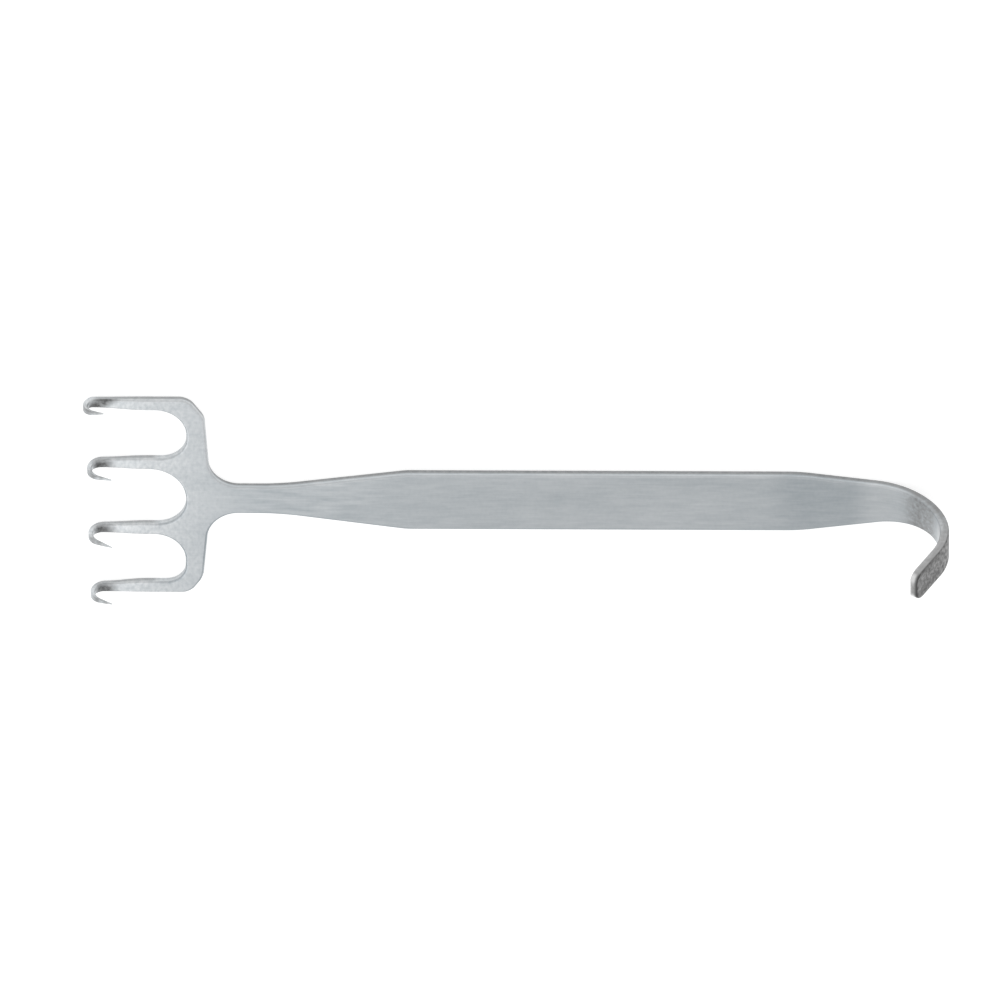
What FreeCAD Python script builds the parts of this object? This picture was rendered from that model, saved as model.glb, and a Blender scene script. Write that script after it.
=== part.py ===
# Facelift retractor: four sharp hooks on a rake, a flat handle, and a finger hook bent from the handle's end.
# The real instrument is one steel forging, so each zone of it is a solid that meets the next face to face.
# It lies on its flat back: +X runs from the rake to the finger hook, and +Z is the way all the hooks point.
# The origin is halfway along it, on the middle of the handle, in the plane of the back.

import FreeCAD, Part
import math
import os

Vector = FreeCAD.Vector

# Overall sizes, in millimetres
overall_length = 160.0
rake_width = 44.9
handle_width = 12.7
handle_thickness = 1.9
rake_thickness = 1.5
edge_radius = 0.45

# Neck, and the tapers at both ends of the handle
neck_width = 6.2
neck_length = 13.0
neck_taper_length = 23.1
neck_blend_radius = 45.0
handle_corner_radius = 10.0
hook_taper_length = 14.2
hook_shoulder_radius = 28.0

# Crossbar of the rake, which the forging left a little to the +Y side of the handle's middle
rake_offset = 0.85
crossbar_depth = 3.0
crossbar_lean = 0.075
crossbar_fillet = 5.8

# The rake's two rear corners, +Y and then -Y, are cut off slantwise and rounded at both ends of the cut
corner_cut_along = (3.0, 2.4)
corner_cut_across = (4.4, 3.6)
corner_outer_radius = (3.2, 2.8)
corner_rear_radius = (3.2, 4.5)

# Slots between the prongs, from the one at +Y down: each is rounded more on its +Y side
slot_upper_radius = (5.9, 7.0, 6.0)
slot_lower_radius = (4.6, 5.2, 3.6)
slot_rounded_share = 0.99
prong_stub_length = 0.3

# Prongs: the places of the inner two are from the rake's middle, and all four taper to their bends
inner_prong_places = (7.47, -7.69)
prong_root_width = 2.55
prong_neck_width = 2.0
prong_neck_thickness = 1.1
prong_neck_edge_radius = 0.45
prong_tip_size = 0.18
prong_taper_power = 1.3

# Each prong's own hook, from the one at +Y down: the reach is from slot floor to outside of the bend
prong_reach = (19.1, 18.3, 18.0, 17.55)
prong_bend_radius = (1.65, 2.45, 2.5, 2.35)
prong_bend_angle = (172.0, 163.0, 150.0, 155.0)
prong_point_length = (2.0, 2.5, 3.1, 2.4)

# Finger hook: its bend is measured on the middle of the strip's thickness
finger_width = 5.95
finger_thickness = 1.6
finger_bend_radius = 12.7
finger_bend_angle = 118.2
finger_leg_length = 9.15
finger_corner_radius = 2.55
finger_narrowing_length = 15.15
finger_narrowing_power = 1.5

# How finely the lofted bends are cut into sections
finger_bend_steps = 14
prong_bend_steps = 12
prong_point_steps = 4

# Two places nearer than this are the same place
same_place = 1e-4

# Places along the length, worked out from the sizes
slot_floor_x = -overall_length / 2 + max(prong_reach)
prong_root_x = slot_floor_x - max(slot_upper_radius + slot_lower_radius) - prong_stub_length
crossbar_rear_x = slot_floor_x + crossbar_depth
finger_bend_x = overall_length / 2 - finger_bend_radius - finger_thickness / 2
hook_taper_x = finger_bend_x - hook_taper_length

# The finger hook goes on narrowing as fast as the handle does where its bend starts
narrowing_run = hook_taper_length + finger_narrowing_length / finger_narrowing_power
narrowing = (handle_width - finger_width) / narrowing_run
finger_root_width = handle_width - narrowing * hook_taper_length


def crossbar_rear_at(distance):
    """The x of the crossbar's leaning rear edge at a distance from the rake's middle."""
    return crossbar_rear_x + crossbar_lean * (rake_width / 2 - distance)


neck_corner_x = crossbar_rear_at(neck_width / 2)
neck_start_x = neck_corner_x + crossbar_fillet
neck_taper_x = neck_corner_x + neck_length
handle_corner_x = neck_taper_x + neck_taper_length
neck_flare = (handle_width - neck_width) / 2 / neck_taper_length
handle_start_x = handle_corner_x + handle_corner_radius * neck_flare


def rounded_wire(corners):
    """A closed wire in the z = 0 plane through (x, y, radius) corners, each rounded by a tangent arc."""
    count = len(corners)
    stretches = []
    for i, (x, y, radius) in enumerate(corners):
        here = Vector(x, y, 0)
        to_last = Vector(*corners[i - 1][:2], 0) - here
        to_next = Vector(*corners[(i + 1) % count][:2], 0) - here
        to_last.normalize()
        to_next.normalize()
        half_angle = to_last.getAngle(to_next) / 2
        tangent = radius / math.tan(half_angle)
        middle = to_last + to_next
        middle.normalize()
        crown = here + middle * (radius / math.sin(half_angle) - radius)
        stretches.append((here + to_last * tangent, crown, here + to_next * tangent))
    edges = []
    for i, (start, crown, end) in enumerate(stretches):
        if not start.isEqual(end, same_place):
            edges.append(Part.Arc(start, crown, end).toShape())
        edges.append(Part.LineSegment(end, stretches[(i + 1) % count][0]).toShape())
    return Part.Wire(edges)


def side_outline(side):
    """One side of the flat blank, side +1 or -1, from the outer prong's root to the finger hook."""
    rake_middle = side * rake_offset
    outer = rake_middle + rake_width / 2
    half_neck = neck_width / 2
    corner_x = crossbar_rear_at(half_neck - rake_middle)
    number = 0 if side > 0 else 1
    across = corner_cut_across[number]
    cut_rear_x = crossbar_rear_at(rake_width / 2 - across)
    corners = [
        (prong_root_x, outer, 0),
        (cut_rear_x - corner_cut_along[number], outer, corner_outer_radius[number]),
        (cut_rear_x, outer - across, corner_rear_radius[number]),
        (corner_x, half_neck, crossbar_fillet),
        (neck_taper_x, half_neck, neck_blend_radius),
        (handle_corner_x, handle_width / 2, handle_corner_radius),
        (hook_taper_x, handle_width / 2, hook_shoulder_radius),
        (finger_bend_x, finger_root_width / 2, 0),
    ]
    return [(x, side * y, radius) for x, y, radius in corners]


def slot_outline(low, high, lower_radius, upper_radius):
    """One slot between two prongs, from its -Y side to its +Y side; its rounded corners fit its width."""
    room = slot_rounded_share * (high - low)
    fit = min(1.0, room / (lower_radius + upper_radius))
    return [
        (prong_root_x, low, 0),
        (slot_floor_x, low, fit * lower_radius),
        (slot_floor_x, high, fit * upper_radius),
        (prong_root_x, high, 0),
    ]


def prong_middles(width):
    """The y of the four prongs' middles where they are this wide: the outer edges stay straight."""
    outer = rake_width / 2 - width / 2
    return [rake_offset + y for y in (outer, *inner_prong_places, -outer)]


def blank_outline():
    """The outline of crossbar, neck and handle as one flat blank, with stubs where the prongs grow."""
    corners = side_outline(1) + side_outline(-1)[::-1]
    middles = prong_middles(prong_root_width)
    for i in (2, 1, 0):
        low = middles[i + 1] + prong_root_width / 2
        high = middles[i] - prong_root_width / 2
        corners += slot_outline(low, high, slot_lower_radius[i], slot_upper_radius[i])
    return rounded_wire(corners)


def side_profile():
    """The blank seen from the side: a flat back, and a face that slopes down along the neck to the rake."""
    margin = 1.0
    points = [
        (prong_root_x - margin, 0),
        (finger_bend_x + margin, 0),
        (finger_bend_x + margin, handle_thickness),
        (handle_start_x, handle_thickness),
        (neck_start_x, rake_thickness),
        (prong_root_x - margin, rake_thickness),
    ]
    corners = [Vector(x, -rake_width, z) for x, z in points]
    face = Part.Face(Part.makePolygon(corners + corners[:1]))
    return face.extrude(Vector(0, 2 * rake_width, 0))


def is_across(edge):
    """True for a straight edge across the blank: a joint with a prong or hook, or a fold of the face."""
    ends = [vertex.Point for vertex in edge.Vertexes]
    planes = (prong_root_x, neck_start_x, handle_start_x, finger_bend_x)
    return any(all(abs(end.x - x) < same_place for end in ends) for x in planes)


def is_upright(edge):
    """True for an edge that runs through the thickness."""
    ends = [vertex.Point for vertex in edge.Vertexes]
    return len(ends) == 2 and math.hypot(ends[0].x - ends[1].x, ends[0].y - ends[1].y) < same_place


def flat_blank():
    """Crossbar, neck and handle as one solid with rounded edges, before it is cut into zones."""
    prism = Part.Face(blank_outline()).extrude(Vector(0, 0, handle_thickness))
    blank = prism.common(side_profile())
    rims = [edge for edge in blank.Edges if not is_across(edge) and not is_upright(edge)]
    return blank.makeFillet(edge_radius, rims)


def zone(blank, start_x, end_x):
    """The part of the blank between two planes across it."""
    box = Part.makeBox(end_x - start_x, 2 * rake_width, 2 * handle_thickness)
    box.translate(Vector(start_x, -rake_width, -handle_thickness / 2))
    return blank.common(box)


def section(centre, along, width, thickness, radius):
    """A rounded rectangle square to a path that keeps to one y: its width lies along Y."""
    up = along.cross(Vector(0, 1, 0))
    corners = []
    for side_y, side_up in ((-1, -1), (1, -1), (1, 1), (-1, 1)):
        corners.append((side_y * width / 2, side_up * thickness / 2, radius))
    wire = rounded_wire(corners)
    wire.Placement = placed(centre, Vector(0, 1, 0), up)
    return wire


def placed(origin, x_axis, y_axis):
    """The placement that puts a flat shape's own x and y along two axes, from an origin."""
    z_axis = x_axis.cross(y_axis)
    rows = [(x_axis[i], y_axis[i], z_axis[i], origin[i]) for i in range(3)]
    return FreeCAD.Placement(FreeCAD.Matrix(*rows[0], *rows[1], *rows[2], 0, 0, 0, 1))


def bend_point(start, radius, turned, heading):
    """The place and direction after turning this many radians up from +X (heading 1) or -X (heading -1)."""
    rise = radius * (1 - math.cos(turned))
    centre = start + Vector(heading * radius * math.sin(turned), 0, rise)
    return centre, Vector(heading * math.cos(turned), 0, math.sin(turned))


def finger_section(turned):
    """The finger hook's section after a turn: it narrows from the handle's taper and thins to the leg."""
    start = Vector(finger_bend_x, 0, handle_thickness / 2)
    centre, along = bend_point(start, finger_bend_radius, turned, 1)
    left = max(0.0, 1 - turned * finger_bend_radius / finger_narrowing_length)
    width = finger_width + (finger_root_width - finger_width) * left**finger_narrowing_power
    share = turned / math.radians(finger_bend_angle)
    thickness = handle_thickness + share * (finger_thickness - handle_thickness)
    return section(centre, along, width, thickness, edge_radius)


def finger_leg():
    """The finger hook's straight leg with its rounded end, laid on from the end of the bend."""
    half = finger_width / 2
    corners = [
        (0, -half, 0),
        (finger_leg_length, -half, finger_corner_radius),
        (finger_leg_length, half, finger_corner_radius),
        (0, half, 0),
    ]
    leg = Part.Face(rounded_wire(corners)).extrude(Vector(0, 0, finger_thickness))
    rims = [e for e in leg.Edges if not is_upright(e) and any(v.X > same_place for v in e.Vertexes)]
    leg = leg.makeFillet(edge_radius, rims)
    start = Vector(finger_bend_x, 0, handle_thickness / 2)
    turned = math.radians(finger_bend_angle)
    centre, along = bend_point(start, finger_bend_radius, turned, 1)
    up = along.cross(Vector(0, 1, 0))
    leg.Placement = placed(centre - up * (finger_thickness / 2), along, Vector(0, 1, 0))
    return leg


def finger_hook():
    """The bent end of the handle: a strip that narrows round the bend, then a short straight leg."""
    turn = math.radians(finger_bend_angle)
    sections = [finger_section(turn * step / finger_bend_steps) for step in range(finger_bend_steps + 1)]
    return Part.makeLoft(sections, True, False).fuse(finger_leg())


def hook_sizes(share):
    """A prong's width and thickness at a share of its hook's length, from the bend to the sharp point."""
    left = 1 - share**prong_taper_power
    width = prong_tip_size + left * (prong_neck_width - prong_tip_size)
    return width, prong_tip_size + left * (prong_neck_thickness - prong_tip_size)


def hook_section(centre, along, share):
    """A prong's section at a share of its hook's length."""
    width, thickness = hook_sizes(share)
    radius = prong_neck_edge_radius * min(width, thickness) / prong_neck_thickness
    return section(centre, along, width, thickness, radius)


def prong(number):
    """One prong: it tapers from the crossbar to its bend, curls over, and runs out to a sharp point."""
    radius = prong_bend_radius[number]
    point_length = prong_point_length[number]
    turn = math.radians(prong_bend_angle[number])
    hook_length = turn * radius + point_length
    outermost_thickness = hook_sizes(math.pi / 2 * radius / hook_length)[1]
    bend_x = slot_floor_x - prong_reach[number] + radius + outermost_thickness / 2
    root = Vector(prong_root_x, prong_middles(prong_root_width)[number], rake_thickness / 2)
    start = Vector(bend_x, prong_middles(prong_neck_width)[number], rake_thickness / 2)
    outward = Vector(-1, 0, 0)
    shaft = [
        section(root, outward, prong_root_width, rake_thickness, edge_radius),
        hook_section(start, outward, 0.0),
    ]
    curl = []
    for step in range(prong_bend_steps + 1):
        turned = turn * step / prong_bend_steps
        centre, along = bend_point(start, radius, turned, -1)
        curl.append(hook_section(centre, along, turned * radius / hook_length))
    point = []
    for step in range(prong_point_steps + 1):
        run = point_length * step / prong_point_steps
        point.append(hook_section(centre + along * run, along, (turn * radius + run) / hook_length))
    straight = Part.makeLoft(shaft, True, True)
    bent = Part.makeLoft(curl, True, False)
    sharp = Part.makeLoft(point, True, True)
    return straight.fuse([bent, sharp])


def build():
    """Every zone of the forging by the name of its node."""
    blank = flat_blank()
    shapes = {
        "rake_crossbar": zone(blank, prong_root_x, neck_start_x),
        "neck": zone(blank, neck_start_x, handle_start_x),
        "handle": zone(blank, handle_start_x, finger_bend_x),
        "finger_hook": finger_hook(),
    }
    for number in range(len(prong_reach)):
        shapes[f"prong_{number + 1}"] = prong(number)
    return shapes


os.makedirs("parts", exist_ok=True)
for name, shape in build().items():
    solid = shape.Solids[0]
    solid.exportStep(f"parts/{name}.step")
    box = solid.BoundBox
    print(f"{name}: {len(shape.Solids)} solid, valid {solid.isValid()}, {solid.Volume:.1f} mm3, "
          f"x {box.XMin:.2f} to {box.XMax:.2f}, y {box.YMin:.2f} to {box.YMax:.2f}, "
          f"z {box.ZMin:.2f} to {box.ZMax:.2f}")
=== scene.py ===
# %% [markdown]
# # Facelift retractor
# This is a hand-held surgical retractor: four sharp hooks on a rake, a narrow neck, a flat handle,
# and a finger hook bent from the handle's end. A real one starts as a flat steel blank. It is cut
# to its outline, its face is ground down towards the rake, and its edges are rounded. Only then are
# the prongs and the finger hook bent up, and the whole thing gets its satin finish. The cells below
# follow that order.

# %% Load the frame
import math

import bpy
from mathutils import Matrix, Vector


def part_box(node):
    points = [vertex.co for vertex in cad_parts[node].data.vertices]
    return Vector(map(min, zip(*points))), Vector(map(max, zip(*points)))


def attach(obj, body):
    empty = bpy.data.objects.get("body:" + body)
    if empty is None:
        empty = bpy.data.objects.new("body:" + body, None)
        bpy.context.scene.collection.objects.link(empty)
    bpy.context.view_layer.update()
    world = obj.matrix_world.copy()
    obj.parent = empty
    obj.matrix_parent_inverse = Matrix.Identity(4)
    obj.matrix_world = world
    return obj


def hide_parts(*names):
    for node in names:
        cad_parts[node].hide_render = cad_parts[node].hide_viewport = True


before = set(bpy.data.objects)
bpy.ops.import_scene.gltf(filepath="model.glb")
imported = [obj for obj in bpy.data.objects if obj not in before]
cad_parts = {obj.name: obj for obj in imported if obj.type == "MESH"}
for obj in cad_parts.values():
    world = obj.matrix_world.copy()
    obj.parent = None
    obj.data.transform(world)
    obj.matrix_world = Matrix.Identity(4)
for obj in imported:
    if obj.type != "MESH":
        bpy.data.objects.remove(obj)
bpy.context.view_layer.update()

# %% [markdown]
# The maker's drawing of such an instrument is in millimetres, so every piece here is modelled in
# millimetres and brought to metres when it is finished. Small parts also suit Blender better that
# way, because some of its operators merge points that are less than a tenth of a unit apart. The
# main places are read from the frame, so that each piece meets its neighbours exactly where the
# construction says.

# %% Main places along the instrument
MM_PER_M = 1000.0


def box_mm(node):
    """The lowest and the highest corner of a CAD node, in millimetres."""
    low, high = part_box(node)
    return Vector(low) * MM_PER_M, Vector(high) * MM_PER_M


crossbar_low, crossbar_high = box_mm("rake_crossbar")
neck_low = box_mm("neck")[0]
handle_low, handle_high = box_mm("handle")
hook_low, hook_high = box_mm("finger_hook")

prong_root_x = crossbar_low.x
neck_start_x = neck_low.x
handle_start_x = handle_low.x
finger_bend_x = handle_high.x
handle_width = handle_high.y - handle_low.y
handle_thickness = handle_high.z
rake_thickness = crossbar_high.z
rake_middle_y = (crossbar_low.y + crossbar_high.y) / 2
rake_width = crossbar_high.y - crossbar_low.y
print(f"handle {handle_width:.2f} mm wide and {handle_thickness:.2f} mm thick")
print(f"rake {rake_width:.2f} mm wide and {rake_thickness:.2f} mm thick")

# %% [markdown]
# The outline of the blank is a list of corners, each with the radius that rounds it. Both long
# sides are alike, but the forging left the rake a little to one side of the handle, and the rake's
# two rear corners were cut off by hand, one a little more than the other. So were the slots between
# the prongs: each is rounded more on one side.

# %% Sizes of the outline, in millimetres
slot_length = 7.3
crossbar_depth = 3.0
crossbar_lean = 0.075
crossbar_fillet = 5.8
corner_cut_along = {1: 3.0, -1: 2.4}
corner_cut_across = {1: 4.4, -1: 3.6}
corner_outer_radius = {1: 3.2, -1: 2.8}
corner_rear_radius = {1: 3.2, -1: 4.5}
neck_width = 6.2
neck_length = 13.0
neck_taper_length = 23.1
neck_blend_radius = 45.0
handle_corner_radius = 10.0
hook_taper_length = 14.2
hook_shoulder_radius = 28.0
slot_upper_radius = (5.9, 7.0, 6.0)
slot_lower_radius = (4.6, 5.2, 3.6)
inner_prong_places = (7.47, -7.69)
prong_root_width = 2.55

slot_floor_x = prong_root_x + slot_length
crossbar_rear_x = slot_floor_x + crossbar_depth
finger_root_width = hook_high.y - hook_low.y


def crossbar_rear_at(distance):
    """The x of the crossbar's leaning rear edge, at a distance from the rake's middle."""
    return crossbar_rear_x + crossbar_lean * (rake_width / 2 - distance)


def side_corners(side):
    """The corners of one long side, +1 or -1, from the outer prong's root to the finger hook."""
    outer = side * rake_middle_y + rake_width / 2
    half_neck = neck_width / 2
    neck_corner_x = crossbar_rear_at(half_neck)
    fillet_x = crossbar_rear_at(half_neck - side * rake_middle_y)
    cut_rear_x = crossbar_rear_at(rake_width / 2 - corner_cut_across[side])
    corners = [
        (prong_root_x, outer, 0.0),
        (cut_rear_x - corner_cut_along[side], outer, corner_outer_radius[side]),
        (cut_rear_x, outer - corner_cut_across[side], corner_rear_radius[side]),
        (fillet_x, half_neck, crossbar_fillet),
        (neck_corner_x + neck_length, half_neck, neck_blend_radius),
        (neck_corner_x + neck_length + neck_taper_length, handle_width / 2, handle_corner_radius),
        (finger_bend_x - hook_taper_length, handle_width / 2, hook_shoulder_radius),
        (finger_bend_x, finger_root_width / 2, 0.0),
    ]
    return [(x, side * y, radius) for x, y, radius in corners]


def prong_middles(width):
    """The y of the four prongs' middles where they are this wide: the outer edges stay straight."""
    outer = (rake_width - width) / 2
    return [rake_middle_y + y for y in (outer, *inner_prong_places, -outer)]


def slot_corners(number):
    """The corners of one of the three slots, from its -Y side to its +Y side."""
    middles = prong_middles(prong_root_width)
    low = middles[number + 1] + prong_root_width / 2
    high = middles[number] - prong_root_width / 2
    return [
        (prong_root_x, low, 0.0),
        (slot_floor_x, low, slot_lower_radius[number]),
        (slot_floor_x, high, slot_upper_radius[number]),
        (prong_root_x, high, 0.0),
    ]


blank_corners = side_corners(1) + side_corners(-1)[::-1]
for slot_number in (2, 1, 0):
    blank_corners += slot_corners(slot_number)
print("the outline has", len(blank_corners), "corners")

# %% [markdown]
# Modelling by hand means choosing something, then acting on it. In a script the choosing is done by
# place: a test says which points, edges or faces are meant. Everything is let go of first, because
# an operator acts on all that is chosen.

# %% Choosing points, edges and faces
def only(thing):
    """Chooses this object and no other."""
    bpy.ops.object.select_all(action="DESELECT")
    thing.select_set(True)
    bpy.context.view_layer.objects.active = thing


def choose(kind, test):
    """In edit mode, chooses the points (VERT), edges (EDGE) or faces (FACE) that pass a test."""
    bpy.ops.mesh.select_mode(type=kind)
    bpy.ops.mesh.select_all(action="DESELECT")
    bpy.ops.object.mode_set(mode="OBJECT")
    mesh = bpy.context.object.data
    items = {"VERT": mesh.vertices, "EDGE": mesh.edges, "FACE": mesh.polygons}[kind]
    chosen = 0
    for item in items:
        item.select = bool(test(item))
        chosen += item.select
    bpy.ops.object.mode_set(mode="EDIT")
    return chosen


# %% [markdown]
# The outline is walked as one would draw it: a plane is added at the first corner and shrunk to a
# point, that point is extruded from corner to corner, and the loop is filled with one face. Then
# each corner is rounded with a vertex bevel. A bevel is set by how far it reaches along the edges,
# which is the radius divided by the tangent of half the corner's angle.

# %% Draw the blank
degrees_per_segment = 4.0
fewest_segments = 6
same_place = 0.01


def corner_reach(last, here, following):
    """How far a rounding reaches along the edges of its corner, and how many segments it takes."""
    to_last = (Vector(last[:2]) - Vector(here[:2])).normalized()
    to_next = (Vector(following[:2]) - Vector(here[:2])).normalized()
    angle = to_last.angle(to_next)
    turn = math.degrees(math.pi - angle)
    return here[2] / math.tan(angle / 2), max(fewest_segments, round(turn / degrees_per_segment))


def draw_outline(name, corners):
    """A flat face with rounded corners, from (x, y, radius) corners."""
    bpy.ops.object.select_all(action="DESELECT")
    bpy.ops.mesh.primitive_plane_add(size=1.0, location=(0.0, 0.0, 0.0))
    piece = bpy.context.object
    piece.name = name
    bpy.ops.object.mode_set(mode="EDIT")
    bpy.ops.mesh.merge(type="CENTER")
    bpy.ops.transform.translate(value=(corners[0][0], corners[0][1], 0.0))
    for last, here in zip(corners, corners[1:]):
        step = (here[0] - last[0], here[1] - last[1], 0.0)
        bpy.ops.mesh.extrude_vertices_move(TRANSFORM_OT_translate={"value": step})
    bpy.ops.mesh.select_all(action="SELECT")
    bpy.ops.mesh.edge_face_add()
    for number, here in enumerate(corners):
        if here[2] == 0.0:
            continue
        place = Vector((here[0], here[1], 0.0))
        following = corners[(number + 1) % len(corners)]
        reach, segments = corner_reach(corners[number - 1], here, following)
        found = choose("VERT", lambda point: (point.co - place).length < same_place)
        bpy.ops.mesh.bevel(offset=reach, segments=segments, affect="VERTICES")
        if found != 1:
            print("corner", number, "was found", found, "times")
    bpy.ops.object.mode_set(mode="OBJECT")
    return piece


blank = draw_outline("steel_blank", blank_corners)
print("the blank's outline has", len(blank.data.vertices), "points")

# %% [markdown]
# The blank is as thick as the handle. It is then cut across into its three zones: crossbar, neck
# and handle. Each is cut from a copy of the blank with a bisect that fills the cut, so that it is a
# closed piece and meets the next one flat against flat.

# %% Cut the blank into its zones
bisect_reach = 0.0001


def cut(place, direction):
    """Cuts the whole piece with a plane, removes what lies beyond it, and closes the cut."""
    bpy.ops.mesh.select_all(action="SELECT")
    bpy.ops.mesh.bisect(plane_co=place, plane_no=direction, use_fill=True, clear_outer=True,
                        threshold=bisect_reach)


def copy_of(thing, name):
    """A copy of an object with its own mesh, chosen and active."""
    only(thing)
    bpy.ops.object.duplicate()
    twin = bpy.context.object
    twin.name = name
    return twin


only(blank)
bpy.ops.object.mode_set(mode="EDIT")
bpy.ops.mesh.select_all(action="SELECT")
bpy.ops.mesh.extrude_region_move(TRANSFORM_OT_translate={"value": (0.0, 0.0, handle_thickness)})
bpy.ops.mesh.select_all(action="SELECT")
bpy.ops.mesh.normals_make_consistent(inside=False)
bpy.ops.object.mode_set(mode="OBJECT")


def zone_of_blank(name, start_x, end_x):
    """The zone of the blank between two planes across it; None leaves that end as it is."""
    zone = copy_of(blank, name)
    bpy.ops.object.mode_set(mode="EDIT")
    if start_x is not None:
        cut((start_x, 0.0, 0.0), (-1.0, 0.0, 0.0))
    if end_x is not None:
        cut((end_x, 0.0, 0.0), (1.0, 0.0, 0.0))
    bpy.ops.object.mode_set(mode="OBJECT")
    return zone


crossbar = zone_of_blank("steel_rake_crossbar", None, neck_start_x)
neck = zone_of_blank("steel_neck", neck_start_x, handle_start_x)
handle = zone_of_blank("steel_handle", handle_start_x, None)
bpy.data.objects.remove(blank)

# %% [markdown]
# The face of a real retractor is ground thinner towards the rake. Grinding is a cut with one plane:
# a level one for the crossbar, and a slightly sloping one for the neck, which runs from the
# handle's thickness to the rake's.

# %% Grind the face towards the rake
def grind(zone, place, upward):
    """Takes off all that stands above a plane."""
    only(zone)
    bpy.ops.object.mode_set(mode="EDIT")
    cut(place, upward)
    bpy.ops.object.mode_set(mode="OBJECT")
    top = max(point.co.z for point in zone.data.vertices)
    print(zone.name, "is now", round(top, 3), "mm thick at most")


neck_slope = (handle_thickness - rake_thickness) / (handle_start_x - neck_start_x)
grind(crossbar, (neck_start_x, 0.0, rake_thickness), (0.0, 0.0, 1.0))
grind(neck, (neck_start_x, 0.0, rake_thickness), (-neck_slope, 0.0, 1.0))

# %% [markdown]
# Next the rims are rounded. Only the edges between a broad face and a side wall are bevelled. Those
# round each flat end are left, so that the neighbours' rounded sections meet point for point.

# %% Round the rims
edge_radius = 0.45
rim_segments = 4
broad_facing = 0.9
end_facing = 0.99
end_planes = (prong_root_x, neck_start_x, handle_start_x, finger_bend_x)


def is_end(face):
    """True for a flat end, where a zone meets its neighbour."""
    on_a_plane = any(abs(face.center.x - x) < same_place for x in end_planes)
    return abs(face.normal.x) > end_facing and on_a_plane


def round_rims(zone):
    """Bevels the edges between the broad faces and the side walls."""
    only(zone)
    mesh = zone.data
    broad = set()
    walls = set()
    for face in mesh.polygons:
        if abs(face.normal.z) > broad_facing:
            broad.update(face.edge_keys)
        elif not is_end(face):
            walls.update(face.edge_keys)
    rims = broad & walls
    bpy.ops.object.mode_set(mode="EDIT")
    chosen = choose("EDGE", lambda edge: edge.key in rims)
    bpy.ops.mesh.bevel(offset=edge_radius, segments=rim_segments, affect="EDGES",
                       clamp_overlap=False)
    bpy.ops.object.mode_set(mode="OBJECT")
    print(zone.name, "has", chosen, "rim edges rounded")


for zone in (crossbar, neck, handle):
    round_rims(zone)

# %% [markdown]
# The prongs and the finger hook are forged from the same steel. Each begins as a section: a small
# plane as wide and thick as the place that it grows from, with its four corners rounded like the
# rims. The section is extruded where the steel runs straight and spun where it bends, one small
# step at a time, and after each step it is resized, so that the steel draws out thinner as it goes.

# %% Draw a section out and bend it up
def start_section(name, x, middle_y, width, thickness, turn):
    """A rounded section across the instrument; turn is -90 degrees to face -X and 90 to face +X."""
    bpy.ops.object.select_all(action="DESELECT")
    bpy.ops.mesh.primitive_plane_add(size=1.0, rotation=(0.0, math.radians(turn), 0.0),
                                     location=(x, middle_y, thickness / 2))
    piece = bpy.context.object
    piece.name = name
    piece.scale = (thickness, width, 1.0)
    bpy.ops.object.transform_apply()
    bpy.ops.object.mode_set(mode="EDIT")
    bpy.ops.mesh.select_all(action="SELECT")
    bpy.ops.mesh.bevel(offset=edge_radius, segments=rim_segments, affect="VERTICES")
    bpy.ops.mesh.select_all(action="SELECT")
    return piece


def resize_section(centre, wider, thicker):
    """Resizes the end section about its centre: its width lies along Y."""
    bpy.ops.transform.resize(value=(thicker, thicker, thicker), center_override=centre)
    bpy.ops.transform.resize(value=(1.0, wider / thicker, 1.0), center_override=centre)


def bend_place(start, radius, turned, heading):
    """The middle and direction of a strip that has turned up from +X (heading 1) or -X (-1)."""
    rise = radius * (1 - math.cos(turned))
    centre = start + Vector((heading * radius * math.sin(turned), 0.0, rise))
    return centre, Vector((heading * math.cos(turned), 0.0, math.sin(turned)))


# %% [markdown]
# A strip that is being drawn out always has an open end, and the next step starts from there. So
# its place, width and thickness are kept together, and each step changes all three.

# %% The end of a strip
class Drawn:
    """The end of a strip that is being drawn out: where its section is, and how wide and thick."""

    def __init__(self, centre, width, thickness):
        self.centre = centre
        self.width = width
        self.thickness = thickness

    def reshape(self, centre, width, thickness):
        """Gives the end section, which is at a new middle, its new width and thickness."""
        resize_section(centre, width / self.width, thickness / self.thickness)
        self.centre = centre
        self.width = width
        self.thickness = thickness

    def run_to(self, centre, width, thickness):
        """Extrudes straight to a new middle."""
        step = centre - self.centre
        bpy.ops.mesh.extrude_region_move(TRANSFORM_OT_translate={"value": step})
        self.reshape(centre, width, thickness)

    def spin_to(self, pivot, angle, centre, width, thickness):
        """Spins one step round a pivot, about the Y axis."""
        bpy.ops.mesh.spin(steps=1, angle=angle, center=pivot, axis=(0.0, 1.0, 0.0))
        self.reshape(centre, width, thickness)


# %% [markdown]
# The finger hook goes on narrowing as fast as the handle did, until it is as wide as its leg. It
# also thins a little as it is bent. The straight leg ends in two rounded corners and a soft rim, so
# that it doesn't press into the finger.

# %% Sizes of the finger hook, in millimetres
finger_width = 5.95
finger_thickness = 1.6
finger_bend_angle = math.radians(118.2)
finger_bend_steps = 60
finger_leg_length = 9.15
finger_corner_radius = 2.55
finger_narrowing_length = 15.15
finger_narrowing_power = 1.5
finger_lead = 0.05
leg_steps = 4
tip_corner_steps = 12
tip_rim_radius = 0.7
tip_rim_steps = 6

finger_outermost_share = math.pi / 2 / finger_bend_angle
finger_thinning = finger_thickness - handle_thickness
outermost_thickness = handle_thickness + finger_outermost_share * finger_thinning
hook_start_x = finger_bend_x + finger_lead
finger_bend_radius = hook_high.x - hook_start_x - outermost_thickness / 2
print("the finger hook bends to a radius of", round(finger_bend_radius, 2), "mm")


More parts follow.
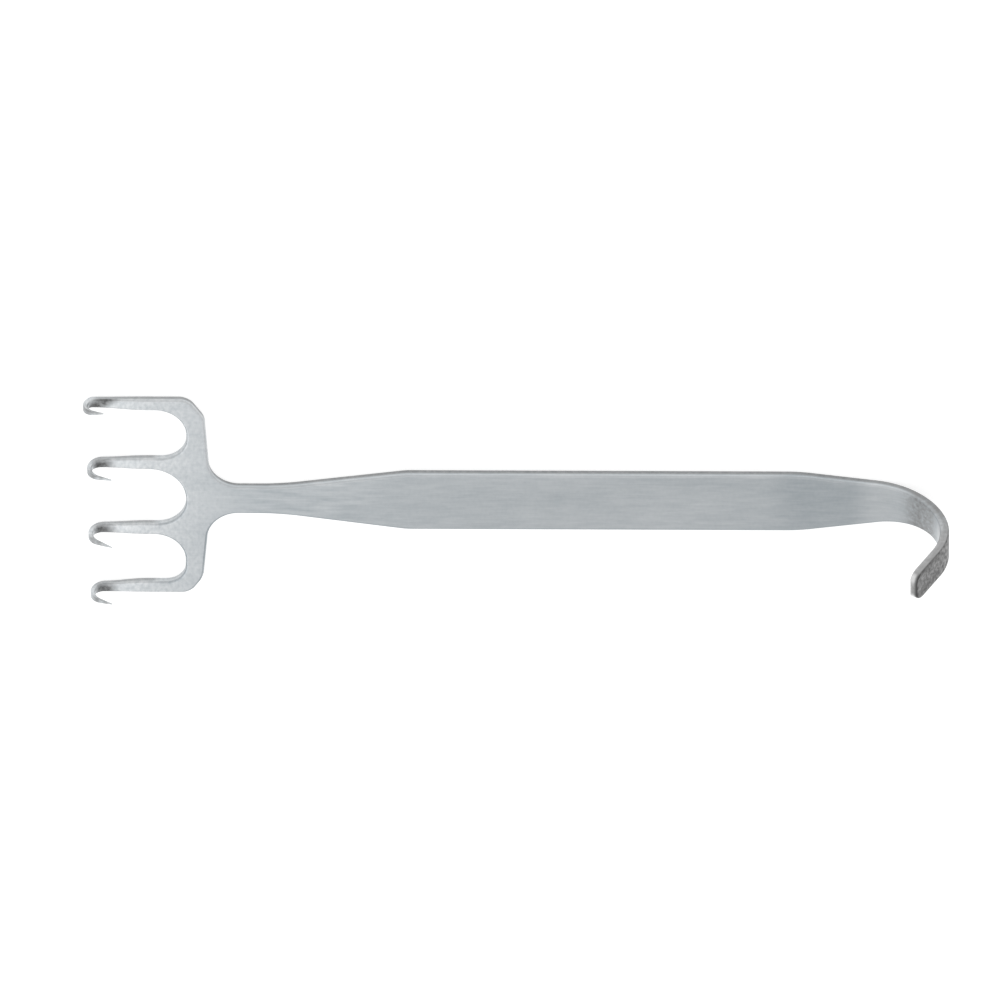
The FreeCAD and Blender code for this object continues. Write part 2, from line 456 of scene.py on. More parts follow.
def finger_size(run):
    """The hook's width and thickness at a distance along it from the start of its bend."""
    left = max(0.0, 1 - run / finger_narrowing_length)
    width = finger_width + (finger_root_width - finger_width) * left**finger_narrowing_power
    share = min(1.0, max(0.0, run / (finger_bend_radius * finger_bend_angle)))
    return width, handle_thickness + share * finger_thinning


def tip_distances():
    """How far from the end the tip's sections lie: close together where it curves most."""
    distances = []
    for step in range(tip_corner_steps):
        distance = finger_corner_radius * (1 - math.sin(math.pi / 2 * step / tip_corner_steps))
        if distance > tip_rim_radius:
            distances.append(distance)
    for step in range(tip_rim_steps + 1):
        distances.append(tip_rim_radius * (1 - math.sin(math.pi / 2 * step / tip_rim_steps)))
    return distances


def rounding(radius, distance):
    """How much a rounded corner takes off a side, this far from the end."""
    inside = max(0.0, radius - distance)
    return radius - math.sqrt(radius**2 - inside**2)


# %% [markdown]
# With the sizes known, the hook is made in one go: a short straight lead, sixty small turns about
# the Y axis, four steps of straight leg, and the sections of the tip, which shrink to its rounded
# end.

# %% Bend the finger hook
def bend_finger_hook():
    """The finger hook: a short lead, the bend, a straight leg and its rounded tip."""
    root = Vector((finger_bend_x, 0.0, handle_thickness / 2))
    piece = start_section("steel_finger_hook", root.x, root.y, finger_root_width,
                          handle_thickness, 90.0)
    end = Drawn(root, finger_root_width, handle_thickness)
    start = root + Vector((finger_lead, 0.0, 0.0))
    end.run_to(start, *finger_size(finger_lead))
    pivot = start + Vector((0.0, 0.0, finger_bend_radius))
    step_angle = finger_bend_angle / finger_bend_steps
    for step in range(1, finger_bend_steps + 1):
        turned = step * step_angle
        centre, along = bend_place(start, finger_bend_radius, turned, 1)
        run = finger_lead + turned * finger_bend_radius
        end.spin_to(pivot, step_angle, centre, *finger_size(run))
    straight = finger_leg_length - finger_corner_radius
    for step in range(1, leg_steps + 1):
        end.run_to(centre + along * (straight * step / leg_steps), finger_width, finger_thickness)
    for distance in tip_distances():
        width = finger_width - 2 * rounding(finger_corner_radius, distance)
        thickness = finger_thickness - 2 * rounding(tip_rim_radius, distance)
        end.run_to(centre + along * (finger_leg_length - distance), width, thickness)
    bpy.ops.object.mode_set(mode="OBJECT")
    return piece


finger_hook = bend_finger_hook()
print("finger hook: highest point", round(max(p.co.z for p in finger_hook.data.vertices), 2), "mm")

# %% [markdown]
# The four prongs are alike, but each was bent by hand over a small mandrel, so each has its own
# curl. One function makes them from their own sizes. The straight part thins evenly from both
# faces, and its taper is eased in and out, because a forged taper has no corner where it starts.

# %% Sizes of the prongs, in millimetres
prong_neck_width = 2.0
prong_neck_thickness = 1.1
prong_tip_size = 0.18
prong_taper_power = 1.3
prong_bend_radius = (1.65, 2.45, 2.5, 2.35)
prong_bend_angle = (172.0, 163.0, 150.0, 155.0)
prong_point_length = (2.0, 2.5, 3.1, 2.4)
prong_shaft_steps = 10
prong_bend_steps = 30
prong_point_steps = 8


def eased(share):
    """A share from 0 to 1 that starts and ends gently."""
    return share * share * (3 - 2 * share)


def hook_size(share):
    """A prong's width and thickness at a share of its hook, from the bend to the sharp point."""
    left = 1 - share**prong_taper_power
    width = prong_tip_size + left * (prong_neck_width - prong_tip_size)
    return width, prong_tip_size + left * (prong_neck_thickness - prong_tip_size)


def prong_bend(number):
    """A prong's bend: its radius, its turn, the length to the point, and the x where it starts."""
    radius = prong_bend_radius[number]
    turn = math.radians(prong_bend_angle[number])
    hook_length = turn * radius + prong_point_length[number]
    outermost_x = box_mm(f"prong_{number + 1}")[0].x
    outermost_thickness = hook_size(math.pi / 2 * radius / hook_length)[1]
    return radius, turn, hook_length, outermost_x + radius + outermost_thickness / 2


def shaft_size(share):
    """A prong's width and thickness at a share of its straight part, from the crossbar on."""
    width = prong_root_width + eased(share) * (prong_neck_width - prong_root_width)
    return width, rake_thickness + eased(share) * (prong_neck_thickness - rake_thickness)


# %% [markdown]
# A prong turns the other way from the finger hook, towards -X, so its steps spin by a negative
# angle. It gets thinner at every step, down to a point that is only as wide as a needle's.

# %% Bend the prongs
def bend_prong(number):
    """One prong, from its root at the crossbar to its sharp point."""
    name = f"steel_prong_{number + 1}"
    radius, turn, hook_length, bend_x = prong_bend(number)
    root = Vector((prong_root_x, prong_middles(prong_root_width)[number], rake_thickness / 2))
    piece = start_section(name, root.x, root.y, prong_root_width, rake_thickness, -90.0)
    end = Drawn(root, prong_root_width, rake_thickness)
    for step in range(1, prong_shaft_steps + 1):
        share = step / prong_shaft_steps
        width, thickness = shaft_size(share)
        x = prong_root_x + share * (bend_x - prong_root_x)
        end.run_to(Vector((x, prong_middles(width)[number], root.z)), width, thickness)
    start = end.centre
    pivot = start + Vector((0.0, 0.0, radius))
    step_angle = turn / prong_bend_steps
    for step in range(1, prong_bend_steps + 1):
        turned = step * step_angle
        centre, along = bend_place(start, radius, turned, -1)
        end.spin_to(pivot, -step_angle, centre, *hook_size(turned * radius / hook_length))
    for step in range(1, prong_point_steps + 1):
        run = prong_point_length[number] * step / prong_point_steps
        end.run_to(centre + along * run, *hook_size((turn * radius + run) / hook_length))
    bpy.ops.object.mode_set(mode="OBJECT")
    return piece


prongs = [bend_prong(number) for number in range(len(prong_bend_radius))]
for prong in prongs:
    print(prong.name, "rises to", round(max(p.co.z for p in prong.data.vertices), 2), "mm")

# %% [markdown]
# The satin lines run along the steel, and they follow it round its bends. So each point keeps a
# note of where it was before the bending: how far along, how far across, and how deep in the
# thickness, from 0 at the back to 1 at the face. The finish reads that note and never the bent
# shape.

# %% Where each point was before the bending
def flat_thickness(x):
    """How thick the flat blank is at an x."""
    ground = rake_thickness + neck_slope * (x - neck_start_x)
    return min(handle_thickness, max(rake_thickness, ground))


def before_bending(point, bend_x, middle_z, radius, turn, heading):
    """The place along and above the middle of a strip that a point had while it was straight."""
    ahead = heading * (point.x - bend_x)
    below = middle_z + radius - point.z
    if ahead <= 0.0 and below > 0.0:
        return point.x, point.z - middle_z
    past = ahead * math.cos(turn) - below * math.sin(turn)
    if past > 0.0:
        height = radius - (ahead * math.sin(turn) + below * math.cos(turn))
        return bend_x + heading * (radius * turn + past), height
    angle = math.atan2(ahead, below)
    return bend_x + heading * radius * angle, radius - math.hypot(ahead, below)


def note_place(piece, place_of):
    """Stores each point's place before the bending, worked out by place_of."""
    note = piece.data.attributes.new("forged_place", "FLOAT_VECTOR", "POINT")
    for point in piece.data.vertices:
        note.data[point.index].vector = place_of(point.co)
    print(piece.name, "has", len(note.data), "noted places")


def place_on_blank(point):
    """The place of a point that was never bent."""
    return point.x, point.y, point.z / flat_thickness(point.x)


for zone in (crossbar, neck, handle):
    note_place(zone, place_on_blank)


# %% [markdown]
# On a bent piece the same note takes the bend back: the angle round the bend becomes a distance
# along the steel, and the distance from the bend's middle line becomes the depth.

# %% Note the places on the bent pieces
def note_bent(piece, bend_x, middle_z, radius, turn, heading, thickness_at):
    """Notes the places on a bent piece; thickness_at gives its thickness at a distance along it."""
    def place_of(point):
        along, height = before_bending(point, bend_x, middle_z, radius, turn, heading)
        return along, point.y, 0.5 + height / thickness_at(along)

    note_place(piece, place_of)


note_bent(finger_hook, hook_start_x, handle_thickness / 2, finger_bend_radius,
          finger_bend_angle, 1, lambda along: finger_size(along - finger_bend_x)[1])


def note_prong(number):
    """Notes the places on one prong."""
    radius, turn, hook_length, bend_x = prong_bend(number)

    def thickness_at(along):
        if along > bend_x:
            return shaft_size((prong_root_x - along) / (prong_root_x - bend_x))[1]
        return hook_size(min(1.0, (bend_x - along) / hook_length))[1]

    note_bent(prongs[number], bend_x, rake_thickness / 2, radius, turn, -1, thickness_at)


for number in range(len(prongs)):
    note_prong(number)

# %% [markdown]
# The pieces are now brought to metres and shaded smooth. Edges that turn by more than 30 degrees
# stay sharp: those are only the flat ends inside the steel. The normals are weighted by area, so
# that the broad faces stay truly flat up to their rounded rims, as ground steel does.

# %% Bring to metres and shade smooth
sharp_angle = math.radians(30.0)


def finish_mesh(piece):
    """Scales a piece to metres, checks that it is closed, and smooths its shading."""
    only(piece)
    piece.scale = (1 / MM_PER_M,) * 3
    bpy.ops.object.transform_apply()
    bpy.ops.object.mode_set(mode="EDIT")
    bpy.ops.mesh.select_mode(type="VERT")
    bpy.ops.mesh.select_all(action="DESELECT")
    bpy.ops.mesh.select_non_manifold()
    bpy.ops.object.mode_set(mode="OBJECT")
    open_points = sum(point.select for point in piece.data.vertices)
    bpy.ops.object.shade_smooth_by_angle(angle=sharp_angle)
    bpy.ops.object.modifier_add(type="WEIGHTED_NORMAL")
    piece.modifiers[0].keep_sharp = True
    bpy.ops.object.modifier_apply(modifier=piece.modifiers[0].name)
    print(piece.name, len(piece.data.polygons), "faces,", open_points, "open points")


steel_pieces = [crossbar, neck, handle, finger_hook] + prongs
for piece in steel_pieces:
    finish_mesh(piece)

# %% [markdown]
# A finish is a tree of nodes. To keep it readable, one small class wraps a socket, so that sums are
# written as sums and every other node is added by one method.

# %% A helper for writing finishes
class Wire:
    """A socket in a node tree. Sums written with wires add the Math nodes that work them out."""

    def __init__(self, tree, socket=None):
        self.tree = tree
        self.socket = socket

    def node(self, kind, settings=None, inputs=None, output=0):
        """Adds a node: its settings come first, then the values or wires of its sockets."""
        made = self.tree.nodes.new(kind)
        for name, value in (settings or {}).items():
            setattr(made, name, value)
        for name, value in (inputs or {}).items():
            if isinstance(value, Wire):
                self.tree.links.new(value.socket, made.inputs[name])
            else:
                made.inputs[name].default_value = value
        return Wire(self.tree, made.outputs[output] if made.outputs else None)

    def sum_with(self, operation, first, second):
        """Adds a Math node."""
        return self.node("ShaderNodeMath", {"operation": operation}, {0: first, 1: second})

    def __add__(self, other):
        return self.sum_with("ADD", self, other)

    def __radd__(self, other):
        return self.sum_with("ADD", other, self)

    def __sub__(self, other):
        return self.sum_with("SUBTRACT", self, other)

    def __rsub__(self, other):
        return self.sum_with("SUBTRACT", other, self)

    def __mul__(self, other):
        return self.sum_with("MULTIPLY", self, other)

    def __rmul__(self, other):
        return self.sum_with("MULTIPLY", other, self)


def new_finish(name):
    """An empty material and a wire into its tree."""
    material = bpy.data.materials.new(name)
    material.use_nodes = True
    material.node_tree.nodes.clear()
    return material, Wire(material.node_tree)


# %% [markdown]
# The satin finish is drawn on the steel as it was before the bending. Masks say where something is:
# a ramp rises from 0 to 1 between two values, and a range rises and then falls again. Patterns are
# noise, drawn out along the steel into lines or left round as speckle and blotches. All of them
# read the notes that the points keep.

# %% Masks and patterns on the unbent steel
belt_features = (0.18, 1.2, 1.2)
fine_features = (0.35, 3.5, 3.5)
speckle_features = (1.5, 1.0, 2.0)
broad_features = (0.05, 0.16, 0.3)
blotch_features = (1.1, 1.3, 2.0)
noise_middle = 0.5


class Unbent:
    """The notes of the unbent steel in one node tree, and what is drawn from them."""

    def __init__(self, tree):
        self.tree = tree
        note_name = {"attribute_name": "forged_place"}
        self.place = tree.node("ShaderNodeAttribute", note_name, output=1)
        self.along = self.note(0)
        self.across = self.note(1)
        self.depth = self.note(2)
        self.belt_lines = self.pattern(belt_features, detail=3.0, roughness=0.5)
        self.fine_lines = self.pattern(fine_features, detail=1.0, roughness=0.5)
        self.speckle = self.pattern(speckle_features, detail=2.0, roughness=0.5)
        self.broad = self.pattern(broad_features, detail=2.0, roughness=0.5)
        self.blotches = self.pattern(blotch_features, detail=2.0, roughness=0.6)

    def note(self, axis):
        """One number of the note: how far along, how far across, or how deep."""
        return self.tree.node("ShaderNodeSeparateXYZ", {}, {0: self.place}, output=axis)

    def pattern(self, features, detail, roughness):
        """Noise around 0, with so many features per millimetre along, across and through."""
        spread = self.tree.node("ShaderNodeVectorMath", {"operation": "MULTIPLY"},
                                {0: self.place, 1: features})
        noise = self.tree.node("ShaderNodeTexNoise", {},
                               {"Vector": spread, "Scale": 1.0, "Detail": detail,
                                "Roughness": roughness})
        return noise - noise_middle

    def ramp(self, value, low, high):
        """0 below low, 1 above high, and smooth between."""
        return self.tree.node("ShaderNodeMapRange", {"interpolation_type": "SMOOTHSTEP"},
                              {"Value": value, "From Min": low, "From Max": high})

    def between(self, value, start, full, fading, end):
        """0 outside a range, 1 inside it, and smooth at both its ends."""
        return self.ramp(value, start, full) * (1 - self.ramp(value, fading, end))

    def mix(self, share, first, second):
        """From the first colour to the second; a share under 0 or over 1 counts as 0 or 1."""
        return self.tree.node("ShaderNodeMix", {"data_type": "RGBA"},
                              {0: share, 6: first, 7: second}, output=2)


def past(place, *distances):
    """Values at these distances past a place, in millimetres."""
    return [place + distance for distance in distances]


def grey(shade):
    """A plain grey as a colour for a socket."""
    return (shade, shade, shade, 1.0)


# %% [markdown]
# Some places are treated alike by more than one finish, so their masks are made once: the blasted
# rake, the floors of its slots, the bent part of the finger hook, its leg, the back of the steel,
# and the curls of the prongs. The curls were bent by hand, so the painted shade inside them sits a
# little differently on each prong, and slants on the first.

# %% Places on the steel
blasted_x = past(prong_root_x, -2.8, 19.2)
slot_floor_range = past(slot_floor_x, -6.6, -4.6, 0.6, 1.9)
outer_edge_y = past(rake_width / 2, -1.65, -0.95)
bent_x = past(finger_bend_x, 3.5, 9.5)
leg_x = past(finger_bend_x, 15.5, 23.5)
back_depth = (0.02, 0.2)
curl_x = past(prong_root_x, -7.9, -4.9)
curl_end_x = past(prong_root_x, -11.6, -9.0)
curl_drift = 0.02
first_prong_y = prong_middles(prong_neck_width)[0]
first_prong_edge_y = past(first_prong_y, -3.5, -2.5)
first_curl_slant = 1.3


class Places:
    """Masks that are 1 in their place on the unbent steel, and 0 elsewhere."""

    def __init__(self, on):
        self.blasted = 1 - on.ramp(on.along, *blasted_x)
        self.slot_floor = self.slot_floors(on)
        self.bent = on.ramp(on.along, *bent_x)
        self.leg = on.ramp(on.along, *leg_x)
        self.back = 1 - on.ramp(on.depth, *back_depth)
        self.curl, self.shaded = self.curls(on)

    def slot_floors(self, on):
        """The floors of the three slots, without the rake's outer edges."""
        outer = on.ramp(on.across * on.across, outer_edge_y[0]**2, outer_edge_y[1]**2)
        return on.between(on.along, *slot_floor_range) * (1 - outer)

    def curls(self, on):
        """Each prong's whole curl, and the part of it whose inside gets painted shade."""
        first = on.ramp(on.across, *first_prong_edge_y)
        slant = first * (on.across - first_prong_y) * first_curl_slant
        place = on.along + on.across * curl_drift - slant
        curl = 1 - on.ramp(place, *curl_x)
        return curl, curl * on.ramp(place, *curl_end_x)


# %% [markdown]
# Most of the steel is ground with belts and then blasted with glass beads. The belts leave lines
# along it, clearest on the neck, and handling leaves broad, soft differences in tone. The beads
# leave a speckle, most of all on the rake, which is also the palest part: partly for its blasting,
# and partly as painted light. The sum of these is the grain.

# %% Grain of the ground steel
neck_lined_x = past(neck_start_x, -3.4, 4.6, 16.6, 32.6)
belt_strength = 0.6
neck_belt_gain = 0.5
blasted_belt_loss = 0.4
fine_strength = 0.3
blasted_fine_loss = 0.2
speckle_strength = 0.3
blasted_speckle_gain = 1.5
broad_strength = 0.5


def grain(on, at):
    """Lines, speckle and soft differences, around 0."""
    lined = on.between(on.along, *neck_lined_x)
    belt = on.belt_lines * (belt_strength + lined * neck_belt_gain
                            - at.blasted * blasted_belt_loss)
    fine = on.fine_lines * (fine_strength - at.blasted * blasted_fine_loss)
    speckle = on.speckle * (speckle_strength + at.blasted * blasted_speckle_gain)
    return belt + fine + speckle + on.broad * broad_strength


# %% [markdown]
# The near rims get a painted highlight, but neither those round the slots' floors nor those of the
# bend, and the far rims get painted shade. The neck is a little darker than the handle, and so is
# the taper before the finger hook: both are painted shade. The start of the bend and a strip far
# round it get painted highlights. Ground steel looks slightly blue, and a plain grey on the leg.

# %% Ground steel, with painted highlights and shade
rim_depth = (0.7, 0.88, 0.99, 0.9995)
far_side_y = (-1.0, 0.0)
# The near rims get a painted highlight, less round the slots' floors, and the far rims painted
# shade.
near_rim_highlight = 0.26
slot_rim_highlight_loss = 0.36
far_rim_shade = 0.9
# Painted highlights at the start of the finger hook's bend and in a strip far round it.
start_highlight_x = past(finger_bend_x, -2.5, 0.5, 2.5, 5.5)
start_highlight_gain = 0.12
bend_highlight_x = past(finger_bend_x, 15.5, 17.3, 18.5, 20.5)
bend_highlight_gain = 0.4
# Painted shade on the taper before the finger hook and on the neck.
taper_shade_x = past(finger_bend_x, -22.5, -12.5, -5.5, -0.5)
taper_shade_loss = 0.33
neck_shade_x = past(neck_start_x, -4.0, 2.6, 8.6, 16.6)
neck_shade_loss = 0.15
# The rake is paler, partly for its blasting and partly as painted light.
blasted_and_lit_gain = 0.43
middle_tone = 0.5
tone_share = 0.55
bluish_dark = (0.375, 0.412, 0.436, 1.0)
bluish_pale = (0.805, 0.815, 0.822, 1.0)
plain_dark = 0.395
plain_pale = 0.80
plain_leg_share = 0.9


def rim_highlights_and_shade(on, at):
    """Painted highlights on the near rims and painted shade on the far rims, as changes of tone."""
    rim = on.between(on.depth, *rim_depth)
    far_side = (1 - on.ramp(on.across, *far_side_y)) * (1 - at.blasted)
    near = rim * (1 - at.bent) * (1 - far_side) * (near_rim_highlight - at.slot_floor * slot_rim_highlight_loss)
    return near - rim * far_side * far_rim_shade


def ground_steel(on, at):
    """The colour of the ground and blasted steel, with its painted highlights and shade."""
    # pale holds the painted highlights on the finger hook's bend.
    pale = (on.between(on.along, *start_highlight_x) * start_highlight_gain
            + on.between(on.along, *bend_highlight_x) * bend_highlight_gain)
    # Painted shade on the taper before the finger hook and on the neck.
    painted_shade = (on.between(on.along, *taper_shade_x) * taper_shade_loss
            + on.between(on.along, *neck_shade_x) * neck_shade_loss)
    tone = (middle_tone + grain(on, at) + rim_highlights_and_shade(on, at) + at.blasted * blasted_and_lit_gain
            + pale - painted_shade) * tone_share
    bluish = on.mix(tone, bluish_dark, bluish_pale)
    plain = on.mix(tone, grey(plain_dark), grey(plain_pale))
    return on.mix(at.leg * plain_leg_share, bluish, plain)


# %% [markdown]
# A dark, blotchy layer is laid over the ground steel: on the back, the low part of the walls, the
# walls of the finger hook's bend and the inside of the bends. Its darkness there is painted shade,
# and its blotches stand for the skin of the forging: most of it on the outside of the finger hook's
# leg, and in a mottled patch inside its bend. The prongs' points are darker and blotchy as well.

# %% Forged skin and painted shade
# Colours of the dark layer: its darkness is painted shade, its blotches the forging's skin.
darkest_skin_and_shade = 0.08
palest_skin_and_shade = 0.38
skin_and_shade_middle = 0.5
skin_blotches = 0.8
leg_blotches_gain = 1.6
face_depth = (0.85, 1.0)
low_depth = (0.45, 0.78)
blasted_low_shift = 0.13
slot_low_loss = 0.8
# Painted shade low on the walls, less on the rake, the slots' floors and the bend.
low_wall_shade = 0.75
bend_low_loss = 0.4
leg_low_loss = 0.15
blasted_low_loss = 0.2
# Painted shade, mottled, inside the finger hook's bend.
mottled_x = past(finger_bend_x, 4.0, 9.0, 12.5, 16.5)
mottled_shade = 0.6
mottled_blotches = 2.0
# Painted shade on the bend's walls, and on the back, most on the outside of the leg.
bent_wall_shade = 0.38
mottled_wall_gain = 0.14
wall_blotches = 1.3
back_shade = 0.15
leg_back_gain = 0.6
# The prongs' points are darker.
point_x = past(prong_root_x, -17.3, -14.8, -13.2, -11.8)
point_darkening = 0.45
point_blotches = 1.5
# Painted shade low in the shaded part of the curls.
curl_low_shade = 0.5


def forged_skin_and_shade(on, at):
    """The colour of the skin and painted shade; its blotches are strongest on the leg's outside."""
    blotches = on.blotches * (skin_blotches + at.leg * at.back * leg_blotches_gain)
    return on.mix(skin_and_shade_middle + blotches, grey(darkest_skin_and_shade), grey(palest_skin_and_shade))


def skin_and_shade_share(on, at):
    """How much of the forged skin and painted shade is laid on."""
    face = on.ramp(on.depth, *face_depth)
    wall = at.bent * (1 - face)
    reach = 1 - on.ramp(on.depth - at.blasted * blasted_low_shift, *low_depth)
    low = reach * (1 - at.slot_floor * slot_low_loss)
    low_share = (low_wall_shade - wall * (bend_low_loss + at.leg * leg_low_loss)
                 - at.blasted * blasted_low_loss)
    patch = on.between(on.along, *mottled_x)
    walls = wall * (bent_wall_shade + patch * mottled_wall_gain + on.blotches * wall_blotches)
    straight = low * low_share + walls + at.back * (back_shade + at.leg * leg_back_gain)
    mottled = patch * face * (mottled_shade + on.blotches * mottled_blotches)
    point = on.between(on.along, *point_x) * (point_darkening + on.blotches * point_blotches)
    return straight * (1 - at.curl) + low * at.shaded * curl_low_shade + mottled + point


# %% [markdown]
# Some places get painted shade, nearly black, because they mirror only the steel opposite: the
# inside of each prong's curl, and lines along the outside of the finger hook's leg and low round
# its tip. In all curls but the first, this painted shade is lighter on the +Y side. The upper rim
# of the tip gets a painted highlight.

# %% Painted shade in the curls and on the leg, and a painted highlight
finger_end_x = hook_start_x + finger_bend_radius * finger_bend_angle + finger_leg_length
# Painted shade inside the curls, lighter on the +Y side of all curls but the first.
inside_depth = (0.55, 0.95)
inside_shade_share = 0.85
inside_blotches = 0.9
lit_distances = (0.1, 0.8, 1.2, 1.6)
lit_share = 0.4
# Painted shade low on the leg's walls, round its tip, and along its outside.
low_line_depth = (0.1, 0.25)
low_line_share = 0.2
bottom_depth = (0.0, 0.06)
tip_x = past(finger_end_x, -2.0, -1.0)
tip_depth = (0.12, 0.42)
tip_shade_share = 0.7
leg_end_x = past(finger_end_x, -10.9, -6.9)
far_edge_y = (-2.4, -1.5, -1.2, -0.5)
near_edge_y = (1.9, 2.5)
edge_shade_share = 0.48
# A painted highlight on the tip's upper rim.
tip_highlight_x = past(finger_end_x, -1.7, -0.8, -0.4, 0.1)
tip_highlight_depth = (0.25, 0.55, 0.85, 1.0)


def painted_curl_shade(on, at):
    """The painted shade inside the curls."""
    lit = sum(on.between(on.across, *past(middle, *lit_distances))
              for middle in prong_middles(prong_neck_width)[1:])
    dark = inside_shade_share + on.blotches * inside_blotches
    return at.shaded * on.ramp(on.depth, *inside_depth) * dark * (1 - lit * lit_share)


def leg_shade_lines(on, at):
    """Painted shade low on the leg's walls, round the low part of its tip, and along its outside.
    """
    low_line = (1 - on.ramp(on.depth, *low_line_depth)) * low_line_share
    tip = on.ramp(on.along, *tip_x) * (1 - on.ramp(on.depth, *tip_depth)) * tip_shade_share
    outside = on.ramp(on.along, *leg_end_x) * at.back
    edges = on.between(on.across, *far_edge_y) + on.ramp(on.across, *near_edge_y)
    walls = at.leg * on.ramp(on.depth, *bottom_depth) * (low_line + tip)
    return walls + outside * edges * edge_shade_share


def painted_tip_highlight(on):
    """A painted highlight on the upper rim of the tip."""
    return on.between(on.along, *tip_highlight_x) * on.between(on.depth, *tip_highlight_depth)


# %% [markdown]
# The finish lays these over each other: ground steel, what is left of the skin with its painted
# shade, the nearly black painted shade, and the painted highlight on the tip's rim. Satin steel is
# a rough metal. Its lines and speckle also vary the roughness a little, and a bump makes them stand
# up by at most a fiftieth of a millimetre, because real grinding is too fine to model.

# %% Satin steel
# The colours of the painted shade and of the painted highlight on the tip.
painted_shade_black = 0.10
tip_highlight_pale = 0.90
tip_highlight_share = 0.8
satin_roughness = 0.42
belt_roughness = 0.08
speckle_roughness = 0.08
back_roughness = 0.12
belt_height = 0.5
fine_height = 0.3
speckle_height = 0.5
bump_strength = 0.5
bump_metres = 0.00002


def satin_steel():
    """The one finish of the whole instrument."""
    material, tree = new_finish("satin_steel")
    on = Unbent(tree)
    at = Places(on)
    surface = on.mix(skin_and_shade_share(on, at), ground_steel(on, at), forged_skin_and_shade(on, at))
    # Painted shade, nearly black, inside the curls and along the leg.
    with_painted_shade = on.mix(painted_curl_shade(on, at) + leg_shade_lines(on, at), surface, grey(painted_shade_black))
    # A painted highlight on the tip's upper rim.
    colour = on.mix(painted_tip_highlight(on) * tip_highlight_share, with_painted_shade, grey(tip_highlight_pale))
    roughness = (satin_roughness + on.belt_lines * belt_roughness
                 + on.speckle * speckle_roughness + at.back * back_roughness)
    height = (on.belt_lines * belt_height + on.fine_lines * fine_height
              + on.speckle * speckle_height)
    bump = tree.node("ShaderNodeBump", {}, {"Strength": bump_strength, "Distance": bump_metres,
                                            "Height": height})
    steel = tree.node("ShaderNodeBsdfPrincipled", {}, {"Base Color": colour, "Metallic": 1.0,
                                                       "Roughness": roughness, "Normal": bump})
    tree.node("ShaderNodeOutputMaterial", {}, {"Surface": steel})
    return material


steel = satin_steel()
for piece in steel_pieces:
    piece.data.materials.clear()
    piece.data.materials.append(steel)
print("the satin steel has", len(steel.node_tree.nodes), "nodes")

# %% [markdown]
# Each piece now takes its place in the frame: it rides on the one rigid body, stands for its own
# zone of the forging, and keeps the satin steel given it above.

# %% Put the pieces in the frame
for piece in steel_pieces:
    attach(piece, "root")
    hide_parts(piece.name.removeprefix("steel_"))
print("pieces:", [piece.name for piece in steel_pieces])

# %% [markdown]
# The photograph was taken from far away, so the view is parallel. The camera stands on the +Y side,
# well off square to the face, and the handle lies level across the picture.

# %% Camera
metres_per_pixel = 0.00018467
picture_size = 1000
tilt = math.radians(37.7)
roll = math.radians(0.22)
middle_pixel = Vector((515.8, 499.85))
middle_height = 0.00095
camera_distance = 0.6
nearest_seen = 0.01
farthest_seen = 10.0

towards = Vector((0.0, math.sin(tilt), math.cos(tilt)))
level_up = Vector((0.0, math.cos(tilt), -math.sin(tilt)))
level_right = Vector((1.0, 0.0, 0.0))
right = level_right * math.cos(roll) + level_up * math.sin(roll)
up = level_up * math.cos(roll) - level_right * math.sin(roll)
offset = (Vector((picture_size / 2, picture_size / 2)) - middle_pixel) * metres_per_pixel
target = Vector((0.0, 0.0, middle_height)) + right * offset.x - up * offset.y

camera_data = bpy.data.cameras.new("camera")
camera_data.type = "ORTHO"
camera_data.ortho_scale = metres_per_pixel * picture_size
camera_data.clip_start = nearest_seen
camera_data.clip_end = farthest_seen
camera = bpy.data.objects.new("camera", camera_data)
bpy.context.scene.collection.objects.link(camera)
turned = Matrix((right, up, towards)).transposed().to_4x4()
camera.matrix_world = Matrix.Translation(target + towards * camera_distance) @ turned
bpy.context.scene.camera = camera
print("the picture is", round(camera_data.ortho_scale * MM_PER_M, 1), "mm wide")

# %% [markdown]
# The instrument lies on its flat back on a white table. The table is to look white in the picture
# and in the steel, without more light on the object: so it gets a plain lift that only the camera
# and reflections see. Its own paint still takes the light, and with it the instrument's soft
# shadow.

# %% Floor
table_paint = 0.5
table_lift = 0.72


def white_table():
    """The table's paint, with a lift that only the camera and reflections see."""
    material, tree = new_finish("white_table")
    paint = tree.node("ShaderNodeBsdfDiffuse", {}, {"Color": grey(table_paint)})
    camera_ray, glossy_ray, passing_ray = [
        tree.node("ShaderNodeLightPath", {}, {}, output=ray)
        for ray in ("Is Camera Ray", "Is Glossy Ray", "Is Transmission Ray")]
    strength = (camera_ray + glossy_ray + passing_ray) * table_lift
    lift = tree.node("ShaderNodeEmission", {}, {"Color": grey(1.0), "Strength": strength})
    both = tree.node("ShaderNodeAddShader", {}, {0: paint, 1: lift})
    tree.node("ShaderNodeOutputMaterial", {}, {"Surface": both})
    return material


floor_size = 4.0
floor_gap = 0.00002
bpy.ops.object.select_all(action="DESELECT")
bpy.ops.mesh.primitive_plane_add(size=floor_size, location=(0.0, 0.0, -floor_gap))
floor = bpy.context.object
floor.name = "floor"
floor.data.materials.append(white_table())
print(floor.name, "lies", round(floor_gap * MM_PER_M, 3), "mm under the back")

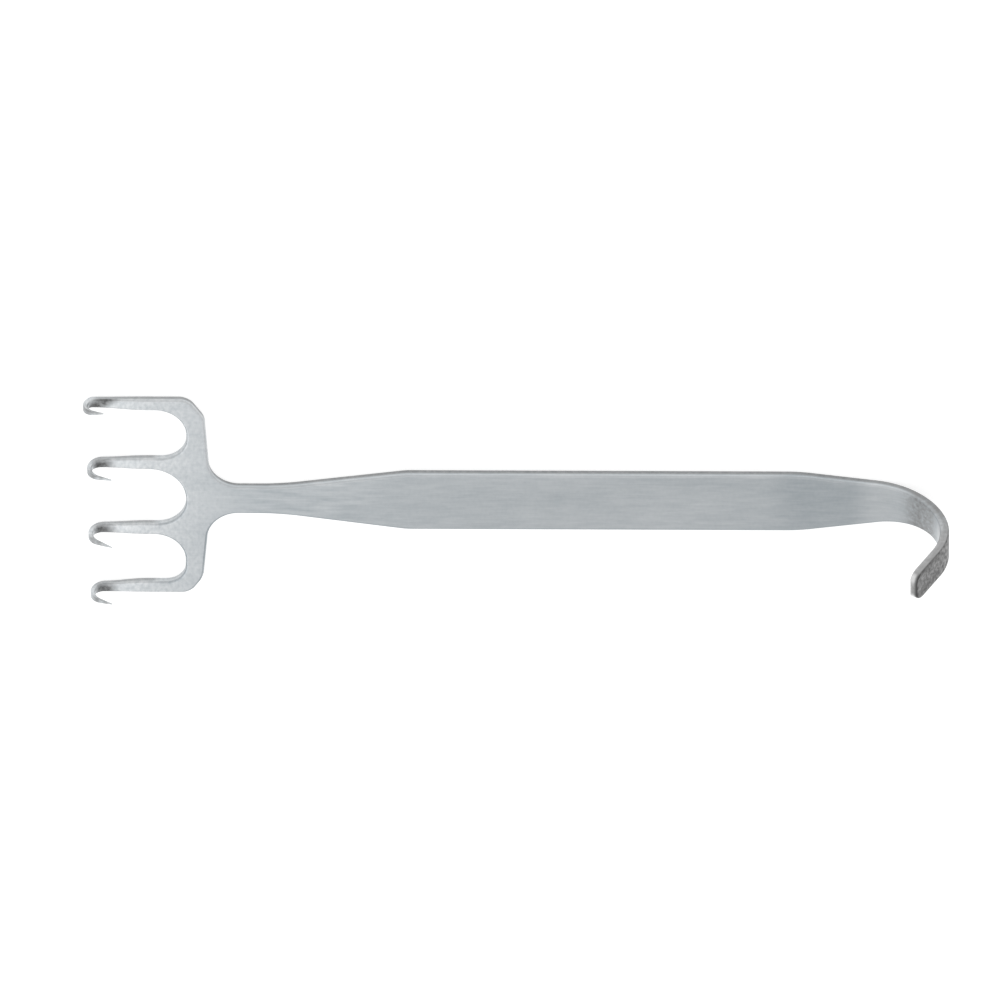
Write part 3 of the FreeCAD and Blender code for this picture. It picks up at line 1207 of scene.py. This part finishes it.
# %% [markdown]
# Most of the light is that of an even pale room. The table hides the lower half of the room from
# the instrument, so that half can be white without lighting anything. It shows only where a low
# view looks in under the table.

# %% Room
room_light = 0.85
room_white = 1.0


def pale_room():
    """An even pale room, white below the table."""
    room = bpy.data.worlds.new("studio")
    room.use_nodes = True
    room.node_tree.nodes.clear()
    tree = Wire(room.node_tree)
    direction = tree.node("ShaderNodeTexCoord")
    height = tree.node("ShaderNodeSeparateXYZ", {}, {0: direction}, output=2)
    below = tree.node("ShaderNodeMath", {"operation": "LESS_THAN"}, {0: height, 1: 0.0})
    strength = room_light + below * (room_white - room_light)
    light = tree.node("ShaderNodeBackground", {}, {"Color": grey(1.0), "Strength": strength})
    tree.node("ShaderNodeOutputWorld", {}, {"Surface": light})
    return room


bpy.context.scene.world = pale_room()
print("room:", bpy.context.scene.world.name)

# %% [markdown]
# One soft lamp is added, with a grid in front that keeps its light on the rake. It stands where the
# rake's face mirrors it towards the camera, so the steel is brightest there and evens out along the
# handle.

# %% Lamp over the rake
lamp_place = (-0.14, -0.085, 0.13)
lamp_aim = (-0.08, 0.0, 0.0)
lamp_size = 0.13
lamp_watts = 0.0105
lamp_spread = 70.0


def soft_lamp(name, place, aim, size, power, spread):
    """A square lamp that faces a place; its grid lets light out within the spread, in degrees."""
    data = bpy.data.lights.new(name, "AREA")
    data.size = size
    data.energy = power
    data.spread = math.radians(spread)
    lamp = bpy.data.objects.new(name, data)
    bpy.context.scene.collection.objects.link(lamp)
    lamp.location = place
    lamp.rotation_mode = "QUATERNION"
    lamp.rotation_quaternion = (Vector(place) - Vector(aim)).to_track_quat("Z", "Y")
    return lamp


lamp = soft_lamp("soft_lamp_over_rake", lamp_place, lamp_aim, lamp_size, lamp_watts, lamp_spread)
print(lamp.name, "gives", lamp_watts, "watts")

# %% [markdown]
# With the Standard view, a colour comes out as written, so that white stays white.

# %% Colours as written
bpy.context.scene.view_settings.view_transform = "Standard"
print("view:", bpy.context.scene.view_settings.view_transform)
